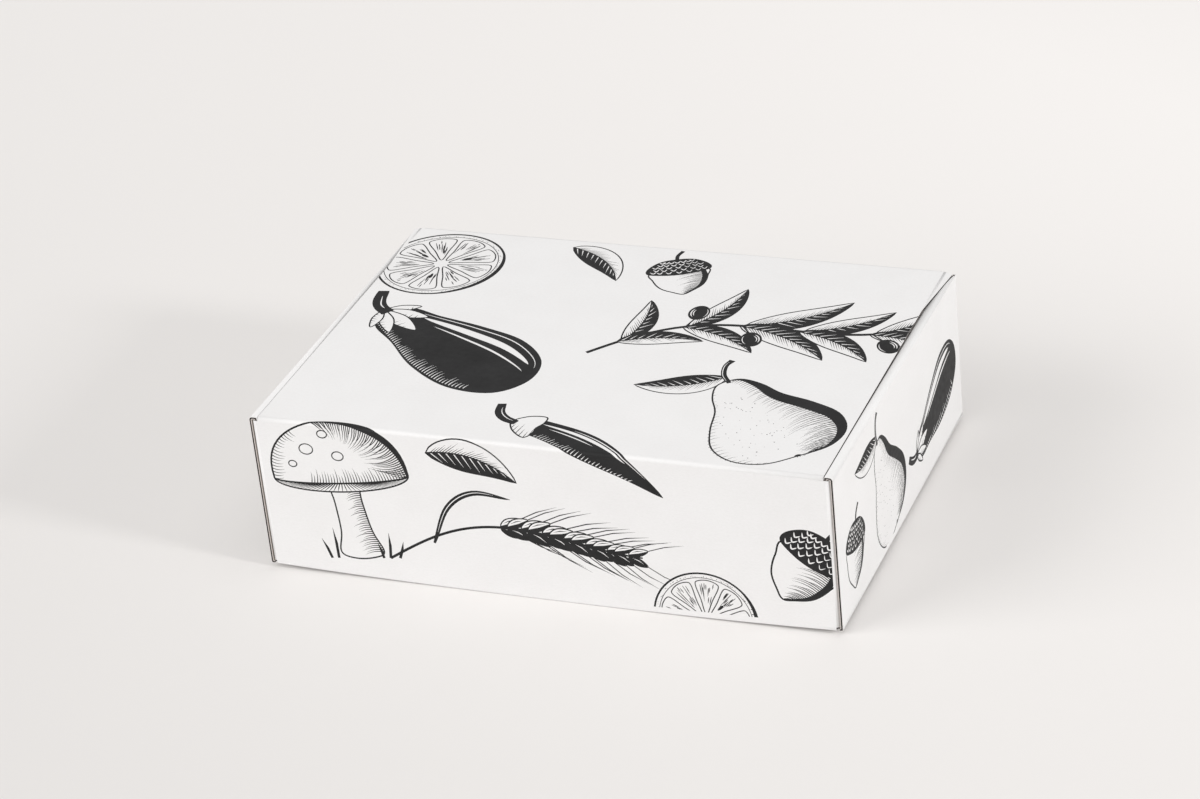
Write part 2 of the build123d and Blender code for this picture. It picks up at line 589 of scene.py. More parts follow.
def leaf(length=60.0, wide=22.0, bow=0.12, dark=1):
    """Pointed leaf along +X with one dark half."""
    d = Drawing()
    t = np.linspace(0, 1, 22)
    mid = np.c_[length * t, length * bow * 4 * t * (1 - t)]
    half = wide / 2 * np.sin(math.pi * t**0.8) ** 0.85
    upper, lower = beside(mid, half), beside(mid, -half)
    d.ring(np.vstack([upper, lower[-2:0:-1]]))
    shade, light = (lower, upper) if dark > 0 else (upper, lower)
    d.band(mid, shade)
    d.comb(mid[1:-4], shade[4:-1], length / 5.5, 0.75, (0.5, 0.9), black=False)
    d.comb(mid[1:-3], light[5:], length / 2.3, hatch_pen * 0.85, (0.3, 0.85))
    d.stroke(mid, 1.1, 1.0, 0.3)
    return d


def berry(long=17.0, wide=12.5):
    """Dark oval fruit along +X with light lines inside its rim."""
    d = Drawing()
    d.fill(around(full_turn(30), long / 2, wide / 2))
    upper = around(turns(0.25, 0.8, 9), long / 2, wide / 2)
    lower = around(turns(1.25, 1.75, 9), long / 2, wide / 2)
    for path, share, weight in ((upper, 0.74, 0.75), (upper, 0.52, 0.6), (lower, 0.8, 0.5)):
        d.shine(path * share, weight)
    return d


def sprig(length=250.0, pairs=7, leaf_length=62.0, fruit_at=(1, 2, 4)):
    """Leafy branch along +X with dark fruit at some of its pairs of leaves."""
    d = Drawing()
    t = np.linspace(0, 1, 40)
    stem = np.c_[length * t, length * 0.07 * np.sin(2.2 * math.pi * t)]
    d.stroke(stem, 2.6, 1.0, 0.3)
    for i in range(pairs):
        at = 0.1 + 0.82 * i / (pairs - 1)
        k = int(at * (len(stem) - 1))
        course = heading(stem[k + 1] - stem[k - 1])
        size = leaf_length * ((1.0 - 0.45 * abs(at - 0.4)) * rng.uniform(0.9, 1.08))
        for side in (1, -1):
            spread = side * rng.uniform(34, 52) * (1.05 - 0.45 * at)
            d.add(leaf(size, 0.3 * size, -0.09 * side, side), stem[k] + [1.5 * side, 0], course + spread)
        if i in fruit_at:
            side = 1 if i % 2 else -1
            spot = stem[k] + turned([9.0, 15.0 * side], course)
            d.stroke([stem[k], (stem[k] + spot) / 2 + [1, 0], spot], 1.1, 1.0, 1.0)
            d.add(berry(), spot, course + 70 * side)
    tip = leaf(leaf_length * 0.75, leaf_length * 0.24, 0.06)
    d.add(tip, stem[-1] - [1, 0], heading(stem[-1] - stem[-3]))
    return d


def pear(tall=110.0, spot_count=60):
    """Pear standing along +Y, shaded from the right, with a stem and a leaf."""
    d = Drawing()
    right = np.array([
        (0, -0.5), (0.2, -0.485), (0.345, -0.37), (0.385, -0.19), (0.31, 0.0),
        (0.205, 0.17), (0.155, 0.32), (0.085, 0.43), (0.0, 0.455),
    ]) * tall
    left = right[-2:0:-1] * [-0.97, 1.0]
    d.add(leaf(tall * 0.52, tall * 0.2, 0.1), (0.015 * tall, 0.5 * tall), 158)
    d.ring(blob(np.vstack([right, left])), outline_pen * 1.15)
    edge = spline(right, steps=6)
    other = edge * [-1, 1]
    thick = 0.085 * tall * np.sin(turns(0, 1, len(edge))) ** 1.5
    d.band(edge, beside(edge, thick))
    lower = other + [0, -0.05 * tall]
    upper = other + [0, 0.1 * tall]
    d.comb(edge[3:-3], lower[3:-3], tall / 1.9, hatch_pen * 1.1, (0.3, 0.46), -0.1)
    d.comb(edge[4:26], upper[8:30], tall / 3.0, hatch_pen * 0.8, (0.22, 0.36), -0.05)
    d.comb(other[4:-8], edge[4:-8], tall / 3.4, hatch_pen * 0.7, (0.05, 0.12), 0.1)
    spots = []
    while len(spots) < spot_count:
        spot = rng.uniform((-0.26, -0.4), (0.06, 0.28)) * tall
        if abs(spot[0]) < 0.88 * np.interp(spot[1], right[:, 1], right[:, 0]):
            spots.append(spot)
    d.dots(spots, 0.75)
    stem = spline([(0.0, 0.43), (0.01, 0.53), (0.06, 0.62), (0.12, 0.66)], tall)
    d.stroke(stem, 3.6, 0.75, 1.25)
    d.shine(stem[2:-2] + [-0.7, 0.2], 0.5, 0.2, 0.2)
    eye = np.array([0, -0.487 * tall])
    for turn in (-60, -20, 20, 60):
        tip = turned([0, -0.028 * tall], turn)
        d.stroke([eye, eye + tip * 0.6, eye + tip], 1.3, 1.0, 0.1)
    return d


def lemon(radius=40.0, parts=9, pores=110, fibres=11):
    """Round slice of citrus."""
    d = Drawing()
    d.ring(around(full_turn(72), radius), 1.5)
    rim = around(turns(-0.55, 0.18, 30), radius)
    d.band(rim, rim * (1 - 0.06 * np.sin(turns(0, 1, 30))[:, None]))
    d.stroke(around(turns(0, 2, 73), radius * 0.905), 0.55, 1.0, 1.0)
    peel = around(rng.uniform(0, 2 * math.pi, pores), radius)
    d.dots(peel * rng.uniform(0.92, 0.955, (pores, 1)), 0.7)
    cell = [
        (0.12, 0.0), (0.45, -0.82), (0.76, -0.97), (0.84, -0.72),
        (0.865, 0.0), (0.84, 0.72), (0.76, 0.97), (0.45, 0.82),
    ]
    seed = [(0.33, 0), (0.38, 0.2), (0.46, 0.2), (0.49, 0), (0.46, -0.2), (0.38, -0.2)]
    spread = math.pi / parts * 0.86
    for i in range(parts):
        middle = 2 * math.pi * (i + 0.5) / parts
        d.ring(blob(fanned(cell, radius, middle, spread), steps=5), 0.8)
        for _ in range(fibres):
            turn = rng.uniform(-0.62, 0.62)
            a, b = sorted(rng.uniform(0.3, 0.8, 2))
            b = min(max(b, a + 0.12), 0.82)
            fibre = [(r, turn) for r in (a, (a + b) / 2, b)]
            d.stroke(fanned(fibre, radius, middle, spread), 0.75, 0.15, 0.5)
        if i % 3 == 0:
            d.fill(blob(fanned(seed, radius, middle, spread), steps=4))
    return d


def wheat(length=180.0, grains=13):
    """Ear of grain along +X with long awns."""
    d = Drawing()
    t = np.linspace(0, 1, 40)
    stalk = np.c_[length * t, length * 0.1 * np.sin(1.3 * math.pi * t)]
    d.stroke(stalk, 1.9, 1.0, 0.6)
    blade = spline([(0.2, 0.05), (0.3, 0.19), (0.42, 0.24), (0.56, 0.2)], length)
    d.stroke(blade, 4.2, 0.4, 0.05)
    d.shine(blade[2:-3] + [0.1, 0.2], 0.6, 0.2, 0.1)
    husk = [(0, 0), (4.5, 3.1), (10.5, 2.9), (16.0, 0.2), (10.5, -2.6), (4.5, -2.6)]
    body = blob(husk, steps=5)
    shades = {1: np.vstack([body[len(body) // 2:], [(0.3, 0.0), (8.0, -0.4)]]), -1: body * 0.94 + [0.4, 0]}
    for i in range(grains):
        at = 0.5 + 0.46 * i / (grains - 1)
        k = int(at * (len(stalk) - 1))
        course = heading(stalk[k + 1] - stalk[k - 1])
        size = 1.1 - 0.35 * abs(i / (grains - 1) - 0.35)
        for side in (1, -1):
            grain = Drawing()
            grain.ring(body, 0.85)
            grain.fill(shades[side])
            grain.stroke([(3, 1.1), (7.5, 1.5), (12.5, 0.7)], 0.65, 0.1, 0.1, side > 0)
            grain.stroke([(15.5, 0.2), (30.0, 1.5 * side), (46.0, 0.5 * side)], 0.75, 0.9, 0.05)
            spread = side * rng.uniform(19, 26)
            d.add(grain, stalk[k] + turned([0, 1.2 * side], course), course + spread, size)
    return d


def mushroom(wide=84.0, gills=46):
    """Mushroom standing along +Y, seen a little from below."""
    d = Drawing()
    stalk = np.array([(0.1, 0.02), (0.105, -0.2), (0.12, -0.42), (0.165, -0.58)]) * wide
    foot = np.array([(0.08, -0.625), (-0.06, -0.63)]) * wide
    d.ring(blob(np.vstack([stalk, foot, stalk[::-1] * [-0.95, 1.0]])))
    edge = spline(stalk, steps=8)
    d.comb(edge, edge * [-1, 1] + [0, -0.05 * wide], wide / 2.2, hatch_pen, (0.3, 0.62), -0.08)
    d.ring(around(full_turn(60), 0.5 * wide, 0.115 * wide))
    front = turns(1, 2, gills)
    outer = around(front, 0.492 * wide, 0.112 * wide)
    inner = around(front, 0.1 * wide, 0.02 * wide) - [0, 0.005 * wide]
    for p, q in zip(outer, inner):
        d.stroke([p, p * 0.6 + q * 0.4, q], hatch_pen, 0.3, 0.9)
    hood = turns(0, 1, 34)
    cap = np.c_[0.5 * wide * np.cos(hood), 0.43 * wide * np.sin(hood) ** 0.8]
    lip = around(turns(1, 2, 24), 0.5 * wide, 0.05 * wide)
    d.ring(np.vstack([cap, lip[1:-1]]), outline_pen * 1.2)
    right, left, low = cap[:20], cap[33:22:-1], lip[8:-1]
    across = np.linspace(0.36, 0.02, len(right)) * wide * 0.62
    crown = np.c_[across, 0.28 * wide * np.sin(np.linspace(0.15, 1.45, len(right)))]
    thick = 0.045 * wide * np.sin(np.linspace(0.35, math.pi, len(right)))
    d.band(right, beside(right, thick))
    d.comb(right, crown, wide / 1.7, hatch_pen * 1.15, (0.55, 0.95), 0.12)
    d.comb(low, low * [0.8, 1] + [0, 0.24 * wide], wide / 2.4, hatch_pen, (0.25, 0.5), -0.05)
    d.comb(left, left * [0.55, 0.6], wide / 4.5, hatch_pen * 0.9, (0.2, 0.5), -0.1)
    for x, y, r in ((-0.2, 0.22, 0.05), (-0.05, 0.33, 0.036), (-0.33, 0.11, 0.03), (0.02, 0.16, 0.042)):
        d.ring(around(full_turn(20), r * wide, 0.8 * r * wide) + [x * wide, y * wide], 0.7)
    grass = ((-0.24, -14, 0.16), (-0.19, 4, 0.24), (0.2, 10, 0.2), (0.27, 24, 0.14), (0.15, -8, 0.12))
    for x, tilt, tall in grass:
        root = np.array([x, -0.63]) * wide
        tip = turned([0, tall * wide], -tilt)
        d.stroke([root, root + tip * 0.5 + [0.4, 0], root + tip], 1.7, 1.0, 0.05)
    return d


def chilli(length=120.0):
    """Dark curved pepper along +X with its stalk."""
    d = Drawing()
    t = np.linspace(0, 1, 30)
    mid = np.c_[length * (0.24 + 0.76 * t), -length * 0.2 * t**1.8]
    half = 0.085 * length * (1 - t**2.2) ** 0.75 * (0.82 + 0.35 * np.sin(math.pi * t) ** 2) + 0.15
    d.band(beside(mid, half), beside(mid, -half))
    for share, first, last, weight in ((0.55, 2, 22, 2.3), (0.22, 4, 15, 0.8), (0.78, 8, 26, 0.7)):
        d.shine(beside(mid, half * share)[first:last], weight, 0.05, 0.05)
    low, high = beside(mid, -0.93 * half), beside(mid, half)
    d.comb(low[3:24], high[5:26], length / 4, 0.55, (0.1, 0.26), black=False)
    cap = [
        (0.15, 0.02), (0.2, 0.075), (0.275, 0.098), (0.292, 0.05), (0.283, 0.0),
        (0.292, -0.05), (0.275, -0.1), (0.2, -0.07), (0.15, -0.018),
    ]
    hat = blob(cap, length, steps=5)
    d.ring(hat)
    d.comb(hat[22:40], hat[22:40] * [1, -0.3] + [0, 0.01 * length], 9, 0.6, (0.4, 0.8))
    stalk = spline([(0.17, 0.0), (0.1, 0.012), (0.045, 0.05), (0.01, 0.12)], length)
    d.stroke(stalk, 0.05 * length, 0.75, 0.8)
    d.shine(stalk[3:-3] + [0.8, 0.7], 0.6)
    return d


def acorn(tall=52.0):
    """Acorn hanging along -Y under its scaly cup."""
    d = Drawing()
    flank = np.array([(0.3, 0.05), (0.31, -0.14), (0.24, -0.34), (0.1, -0.47)])
    nut = np.vstack([flank, [(0.0, -0.53)], flank[::-1] * [-1, 1]])
    d.ring(blob(nut, tall))
    edge = spline([(0.3, 0.02), *flank[1:], (0.01, -0.52)], tall)
    other = edge * [-1, 1] + [0, -0.06 * tall]
    d.band(edge, edge * [0.8, 0.985])
    d.comb(edge[1:-3], other[1:-3], tall / 1.9, hatch_pen, (0.36, 0.62), -0.1)
    cup = [
        (0.36, 0.03), (0.35, 0.16), (0.2, 0.3), (0.0, 0.335), (-0.2, 0.3),
        (-0.35, 0.16), (-0.36, 0.03), (-0.18, -0.035), (0.0, -0.055), (0.18, -0.035),
    ]
    d.fill(blob(cup, tall))
    for row in range(5):
        reach = 0.33 * math.cos(0.24 * row)
        for k in range(-4, 5):
            x = reach * math.sin((k + 0.5 * (row % 2)) * 0.36)
            if abs(x) > reach * 0.95:
                continue
            y = 0.005 + 0.062 * row + 0.07 * (x / 0.36) ** 2
            scale = [(x - 0.036, y + 0.03), (x, y - 0.012), (x + 0.036, y + 0.03)]
            d.shine(spline(scale, tall, steps=4), 0.85 if x < 0.1 else 0.55)
    d.stroke(spline([(0, 0.32), (0.02, 0.42), (0.09, 0.52)], tall), 2.4, 0.9, 1.1)
    return d


def aubergine(length=150.0):
    """Large dark fruit along +X with a crown of sepals."""
    d = Drawing()
    upper = [(0.16, 0.075), (0.32, 0.12), (0.52, 0.175), (0.72, 0.205), (0.9, 0.15), (0.985, 0.02)]
    lower = [(0.95, -0.13), (0.78, -0.215), (0.55, -0.205), (0.34, -0.14), (0.16, -0.085)]
    d.fill(blob(upper + lower, length, steps=7))
    top = spline(upper, length, steps=8)
    d.shine(top[6:32] * [1, 0.62], 5.2, 0.03, 0.05)
    d.shine(top[10:34] * [0.99, 0.36], 1.5, 0.05, 0.05)
    d.shine(top[4:36] * [0.985, 0.86], 0.8, 0.05, 0.05)
    low = spline(lower, length, steps=8)[5:]
    d.comb(low * [0.99, 0.94], low * [0.97, 0.2], length / 3.4, 0.7, (0.18, 0.42), 0.06, False)
    sepal = [(0.0, 0.03), (0.5, 0.16), (1.0, 0.0), (0.5, -0.15), (0.0, -0.03)]
    for turn, reach in ((52, 0.15), (24, 0.2), (-4, 0.23), (-30, 0.19), (-58, 0.14)):
        blade = Drawing()
        shape = blob(sepal, reach * length, steps=5)
        blade.ring(shape, 0.9)
        blade.comb(shape[13:24], shape[13:24] * [1.05, -0.6], 8, 0.6, (0.4, 0.8))
        d.add(blade, (0.1 * length, 0.0), turn)
    stalk = spline([(0.13, 0.0), (0.07, 0.01), (0.02, 0.04), (-0.03, 0.1)], length)
    d.stroke(stalk, 0.055 * length, 1.0, 0.8)
    d.shine(spline([(0.09, 0.012), (0.05, 0.025), (0.0, 0.07)], length), 0.8)
    return d


def layout():
    """All motifs on the blank. Places are U and minus V, as seen from the printed side."""
    sheet = Drawing()
    put = sheet.add
    # Lid
    put(sprig(), (-8, 322), 24)
    put(lemon(), (-134, 410), 10, 0.95)
    put(aubergine(), (-158, 356), -30)
    put(pear(), (112, 272), 42, 0.9)
    put(chilli(), (-38, 244), -13)
    put(acorn(), (12, 424), 24)
    put(leaf(), (-62, 444), -42, 0.9)
    # Hinge wall and lid crease
    put(mushroom(), (-118, 184), 8)
    put(wheat(), (-94, 134), 12, 0.85)
    put(acorn(), (154, 162), -34, 1.1)
    put(leaf(), (-64, 206), -14, 0.9)
    put(lemon(), (92, 118), 25, 0.75)
    # Right side wall
    put(aubergine(98.0), (192, -18), -72)
    put(pear(), (212, 30), -68, 0.7)
    put(acorn(), (206, 90), -100, 0.9)
    # Left side wall
    put(sprig(), (-202, -58), 88, 0.68)
    put(lemon(), (-234, -86), 0, 0.7)
    # Front wall
    put(wheat(), (116, -136), 190, 0.9)
    put(mushroom(), (-116, -164), 184, 0.85)
    put(acorn(), (146, -180), 160)
    # Tuck flap
    put(chilli(), (-120, 492), 8)
    put(acorn(), (70, 486), 20)
    put(leaf(), (8, 482), 24, 0.8)
    return sheet.shapes


# Sheet meshes

# The core material is the fluted medium, coloured near black as painted shade of the hollows between the
# flutes
WHITE, INK, INSIDE, PAINTED_SHADE_CORE, OUTER_EDGE, INNER_EDGE = range(6)


def inside(points, outline):
    """Points that lie within an outline, by winding number."""
    outline = np.asarray(outline, float)
    found = np.zeros(len(points), bool)
    low, high = outline.min(0), outline.max(0)
    boxed = np.flatnonzero(((points > low) & (points < high)).all(1))
    if len(boxed) == 0:
        return found
    x, y = points[boxed].T
    winding = np.zeros(len(boxed), int)
    for (ax, ay), (bx, by) in zip(outline, np.roll(outline, -1, axis=0)):
        left = (bx - ax) * (y - ay) - (x - ax) * (by - ay)
        winding += (ay <= y) & (by > y) & (left > 0)
        winding -= (ay > y) & (by <= y) & (left < 0)
    found[boxed] = winding != 0
    return found


def triangulated(loops, lines):
    """Triangles of the plane that keep to all loops and lines: points, faces and the middles of the faces."""
    points = []
    edges = []
    for loop in loops:
        first = len(points)
        points += [Vector((float(u), float(v))) for u, v in loop]
        edges += [(first + k, first + (k + 1) % len(loop)) for k in range(len(loop))]
    for a, b in lines:
        edges.append((len(points), len(points) + 1))
        points += [Vector(a), Vector(b)]
    points, _, faces, _, _, _ = delaunay_2d_cdt(points, edges, [], 0, knit)
    points = np.array([tuple(p) for p in points])
    faces = np.array(faces)
    return points, faces, points[faces].mean(1)


def within(points, loops):
    """Points on a piece whose first loop is its outline and whose other loops are holes."""
    found = inside(points, loops[0])
    for hole in loops[1:]:
        found &= ~inside(points, hole)
    return found


def printable(points):
    """Points of the blank that the press reaches."""
    u, v = np.abs(points[:, 0]), np.abs(points[:, 1])
    walls = (v > wall_at(print_margin)) & (u < np.where(-points[:, 1] > hinge_v, lid_half, fold_u))
    sides = (v < side_v) & (u > print_foot) & (u < inner_u + print_bleed)
    return walls | sides


def print_limits():
    """Lines that the print stops at."""
    lines = []
    for end in (1, -1):
        lines.append(((-fold_u, end * wall_at(print_margin)), (fold_u, end * wall_at(print_margin))))
        for place in (print_foot, inner_u + print_bleed):
            lines.append(((end * place, -side_v), (end * place, side_v)))
    return lines


def boundary_loops(faces):
    """Closed walks along the open edges of anticlockwise triangles."""
    edges = {(a, b) for f in faces.tolist() for a, b in zip(f, f[1:] + f[:1])}
    after = {a: b for a, b in edges if (b, a) not in edges}
    loops = []
    while after:
        start, here = after.popitem()
        loop = [start]
        while here != start:
            loop.append(here)
            here = after.pop(here)
        loops.append(loop)
    return loops


def inset(loop, seams, distance):
    """Loop moved into the board, apart from the seams along which pieces meet."""
    along = np.roll(loop, -1, axis=0) - loop
    along /= norm(along, axis=1, keepdims=True)
    ahead = np.c_[-along[:, 1], along[:, 0]]
    behind = np.roll(ahead, 1, axis=0)
    d_ahead = np.where(seams, 0.0, distance)
    d_behind = np.roll(d_ahead, 1)
    cross = behind[:, 0] * ahead[:, 1] - behind[:, 1] * ahead[:, 0]
    straight = np.abs(cross) < straight_sine
    safe = np.where(straight, 1.0, cross)
    corner = np.column_stack([
        (d_behind * ahead[:, 1] - d_ahead * behind[:, 1]) / safe,
        (d_ahead * behind[:, 0] - d_behind * ahead[:, 0]) / safe,
    ])
    plain = ahead * np.maximum(d_ahead, d_behind)[:, None]
    return loop + np.where(straight[:, None], plain, corner)


def placed(name, data):
    """New object in the scene."""
    thing = bpy.data.objects.new(name, data)
    bpy.context.scene.collection.objects.link(thing)
    return thing


class SheetMesh:
    """Points of the blank with their faces and materials."""

    def __init__(self):
        self.points = []
        self.faces = []
        self.materials = []
        self.count = 0

    def add(self, points, faces, materials):
        self.points.append(points)
        self.faces += [tuple(int(k) + self.count for k in f) for f in faces]
        self.materials += list(materials)
        self.count += len(points)

    def wall(self, rows, materials):
        """Quads from each row of points round a loop to the next, as many rows of quads as materials."""
        size = len(rows[0])
        faces = []
        for row in range(len(materials)):
            a = row * size
            b = (row + 1) % len(rows) * size
            for k in range(size):
                n = (k + 1) % size
                faces.append((a + k, a + n, b + n, b + k))
        self.add(np.vstack(rows), faces, np.repeat(materials, size))

    def build(self, name):
        flat = np.vstack(self.points)
        _, first, index = np.unique(flat.round(weld_digits), axis=0, return_index=True, return_inverse=True)
        index = index.ravel()
        flat = flat[first]
        faces = []
        paint = []
        for face, material in zip(self.faces, self.materials):
            corners = list(dict.fromkeys(int(index[k]) for k in face))
            if len(corners) > 2:
                faces.append(corners)
                paint.append(material)
        used = np.unique(np.concatenate(faces))
        flat = flat[used]
        faces = [np.searchsorted(used, face).tolist() for face in faces]
        mesh = bpy.data.meshes.new(name)
        mesh.from_pydata(folded(flat) * MM, [], faces)
        middles = np.array([flat[f].mean(0) for f in faces])
        mesh.polygons.foreach_set("material_index", paint)
        mesh.polygons.foreach_set("use_smooth", in_fold(middles))
        spread = mesh.attributes.new("blank", "FLOAT_VECTOR", "POINT")
        spread.data.foreach_set("vector", (flat * MM).astype(np.float32).ravel())
        mesh.update()
        return placed(name, mesh)


def with_depth(points, w):
    """Points of the blank at a depth in the board."""
    return np.c_[points, np.broadcast_to(w, len(points))]


def flute_walk(loop):
    """Loop divided finely enough to follow the flutes."""
    walk = []
    for a, b in zip(loop, np.roll(loop, -1, axis=0)):
        steps = max(1, math.ceil(abs(b[1] - a[1]) / flute_step))
        walk += [a + (b - a) * k / steps for k in range(steps)]
    return np.array(walk)


def on_seam(loop):
    """Stretches of a loop along which the tray, the crease and the lid meet."""
    after = np.roll(loop, -1, axis=0)
    found = np.zeros(len(loop), bool)
    for seam in (-seam_tray, -seam_lid):
        found |= (np.abs(loop[:, 1] - seam) < near) & (np.abs(after[:, 1] - seam) < near)
    return found


def cut_edge(mesh, loop):
    """Cut edge of the board: both liners, the groove between them and the fluted medium in it, whose
    near-black colour is painted shade.
    """
    seams = on_seam(loop)
    deep = inset(loop, seams, groove)
    inner_face = board - inner_liner
    rows = [(loop, 0.0), (loop, outer_liner), (deep, outer_liner)]
    rows += [(deep, inner_face), (loop, inner_face), (loop, board)]
    mesh.wall([with_depth(*row) for row in rows], (OUTER_EDGE, PAINTED_SHADE_CORE, PAINTED_SHADE_CORE, PAINTED_SHADE_CORE, INNER_EDGE))
    walk = flute_walk(loop)
    seams = on_seam(walk)
    front = inset(walk, seams, flute_inset)
    back = inset(walk, seams, groove)
    swing = (inner_face - outer_liner - flute_wall) / 2
    middle = (outer_liner + inner_face) / 2 + swing * np.cos(2 * math.pi * walk[:, 1] / flute_pitch)
    over, under = middle - flute_wall / 2, middle + flute_wall / 2
    rows = [(front, over), (front, under), (back, under), (back, over)]
    mesh.wall([with_depth(*row) for row in rows], (PAINTED_SHADE_CORE, PAINTED_SHADE_CORE, PAINTED_SHADE_CORE, PAINTED_SHADE_CORE))


def sheet_pieces():
    """The tray, the lid and the crease between them, cut from one printed blank."""
    outlines = {
        "mailer_tray": [tray_outline(), *slot_outlines()],
        "mailer_lid": [lid_outline()],
        "mailer_crease": [mirrored([(lid_half, -seam_tray), (lid_half, -seam_lid)])],
    }
    shapes = [(points * [1, -1], black) for points, black in layout()]
    loops = [loop for piece in outlines.values() for loop in piece]
    lines = fold_lines() + print_limits() + sag_lines()
    points, faces, middles = triangulated(loops + [shape for shape, _ in shapes], lines)
    ink = np.zeros(len(faces), bool)
    for shape, black in shapes:
        ink[inside(middles, shape)] = black
    ink &= printable(middles)
    made = {}
    for name, piece_loops in outlines.items():
        mesh = SheetMesh()
        mine = within(middles, piece_loops)
        mesh.add(with_depth(points, 0.0), faces[mine][:, ::-1], np.where(ink[mine], INK, WHITE))
        edges = [points[loop] for loop in boundary_loops(faces[mine])]
        back, back_faces, back_middles = triangulated(edges, fold_lines() + sag_lines())
        keep = within(back_middles, piece_loops)
        mesh.add(with_depth(back, board), back_faces[keep], [INSIDE] * int(keep.sum()))
        for edge in edges:
            cut_edge(mesh, edge)
        made[name] = mesh.build(name)
    return made


# Materials

def grey(level):
    """Neutral colour."""
    return (level, level, level)


class Finish:
    """Procedural material whose detail follows the blank or the floor, with sizes in metres."""

    def __init__(self, name, on_floor=False):
        self.material = bpy.data.materials.new(name)
        self.material.use_nodes = True
        self.tree = self.material.node_tree
        if on_floor:
            self.place = self.node("TexCoord").outputs["Object"]
        else:
            blank = self.node("Attribute")
            blank.attribute_name = "blank"
            self.place = blank.outputs["Vector"]

    def feed(self, node, inputs):
        """Inputs of a node, each a value or an output of another node."""
        for name, value in inputs.items():
            if isinstance(value, bpy.types.NodeSocket):
                self.tree.links.new(value, node.inputs[name])
            else:
                node.inputs[name].default_value = value

    def node(self, kind, **inputs):
        node = self.tree.nodes.new("ShaderNode" + kind)
        self.feed(node, inputs)
        return node

    def noise(self, size, detail=3.0, stretch=1.0):
        """Noise whose cells have about this size, drawn out across the blank by the stretch."""
        scale = (1 / (size * stretch), 1 / size, 1 / size)
        place = self.node("Mapping", Vector=self.place, Scale=scale)
        return self.node("TexNoise", Vector=place.outputs["Vector"], Scale=1.0, Detail=detail).outputs["Fac"]

    def ramp(self, value, *stops):
        """Colours along a value, between two stops."""
        node = self.node("ValToRGB", Fac=value)
        for element, (place, colour) in zip(node.color_ramp.elements, stops):
            element.position = place
            element.color = (*colour, 1.0)
        return node.outputs["Color"]

    def mix(self, kind, share, a, b):
        """Two colours mixed."""
        node = self.node("Mix")
        node.data_type = "RGBA"
        node.blend_type = kind
        self.feed(node, {"Factor": share, "A": a, "B": b})
        return node.outputs["Result"]

    def washboard(self):
        """Faint ridges of the flutes under the liner."""
        scale = math.pi / 10 / (flute_pitch * MM)
        node = self.node("TexWave", Vector=self.place, Scale=scale, Distortion=0.0)
        node.bands_direction = "Y"
        return node.outputs["Fac"]

    def relief(self, *heights):
        """Surface normal bent by several heights, each with its depth."""
        normal = {}
        for value, depth_m in heights:
            node = self.node("Bump", Strength=1.0, Distance=depth_m, Height=value, **normal)
            normal = {"Normal": node.outputs["Normal"]}
        return normal

    def coat(self, patch, *heights):
        """Roughness and relief of the coated liner, with further heights."""
        roughness = self.ramp(self.noise(patch), (0.2, grey(coat_smooth)), (0.8, grey(coat_rough)))
        grain = (self.noise(coat_grain, 4.0, coat_stretch), coat_relief)
        wave = (self.noise(panel_wave, 2.0), panel_relief)
        return roughness, self.relief(grain, wave, *heights)

    def done(self, colour, roughness, specular, normal):
        """The material, with all inputs of its shader."""
        inputs = {"Base Color": colour, "Roughness": roughness, "Specular IOR Level": specular, **normal}
        self.feed(self.tree.nodes["Principled BSDF"], inputs)
        return self.material


def white_liner():
    """Coated white liner: faint mottle, fine grain and the flutes showing through."""
    paper = Finish("white_liner")
    cloud = paper.ramp(paper.noise(0.03), (0.3, (0.855, 0.85, 0.852)), (0.7, (0.875, 0.872, 0.875)))
    fine = paper.noise(0.0009, 4.0, coat_stretch)
    grain = paper.ramp(fine, (0.3, (0.955, 0.955, 0.95)), (0.62, grey(1.0)))
    roughness, normal = paper.coat(0.006, (paper.washboard(), coat_relief))
    return paper.done(paper.mix("MULTIPLY", 0.6, cloud, grain), roughness, coat_specular, normal)


def printed_ink():
    """Charcoal ink, thin enough for the grain of the liner to show."""
    ink = Finish("charcoal_ink")
    cloud = ink.ramp(ink.noise(0.02), (0.3, (0.012, 0.012, 0.0125)), (0.75, (0.02, 0.02, 0.021)))
    speck = ink.ramp(ink.noise(0.0005), (0.62, grey(0.0)), (0.85, grey(0.05)))
    roughness, normal = ink.coat(0.004)
    return ink.done(ink.mix("ADD", 0.5, cloud, speck), roughness, coat_specular, normal)


def raw_board(name, dark, light, fibre, ridged):
    """Uncoated paper with fibres across the blank and, on a liner, faint stripes over the flutes."""
    paper = Finish(name)
    cloud = paper.ramp(paper.noise(0.012), (0.3, dark), (0.7, light))
    strands = paper.ramp(paper.noise(0.0008, 4.0, 6.0), (0.35, grey(fibre)), (0.65, grey(1.0)))
    colour = paper.mix("MULTIPLY", 0.8, cloud, strands)
    heights = [(paper.noise(0.0008, 4.0, 5.0), raw_relief)]
    if ridged:
        ridges = paper.washboard()
        stripes = paper.ramp(ridges, (0.1, (0.94, 0.935, 0.93)), (0.9, grey(1.0)))
        colour = paper.mix("MULTIPLY", 0.7, colour, stripes)
        heights.append((ridges, raw_relief))
    return paper.done(colour, 0.85, raw_specular, paper.relief(*heights))


def liner_edge(name, dark, light):
    """Torn fibres at the cut edge of a liner."""
    paper = Finish(name)
    colour = paper.ramp(paper.noise(0.0012, 4.0), (0.35, dark), (0.65, light))
    return paper.done(colour, 0.8, raw_specular, paper.relief((paper.noise(0.0005), edge_relief)))


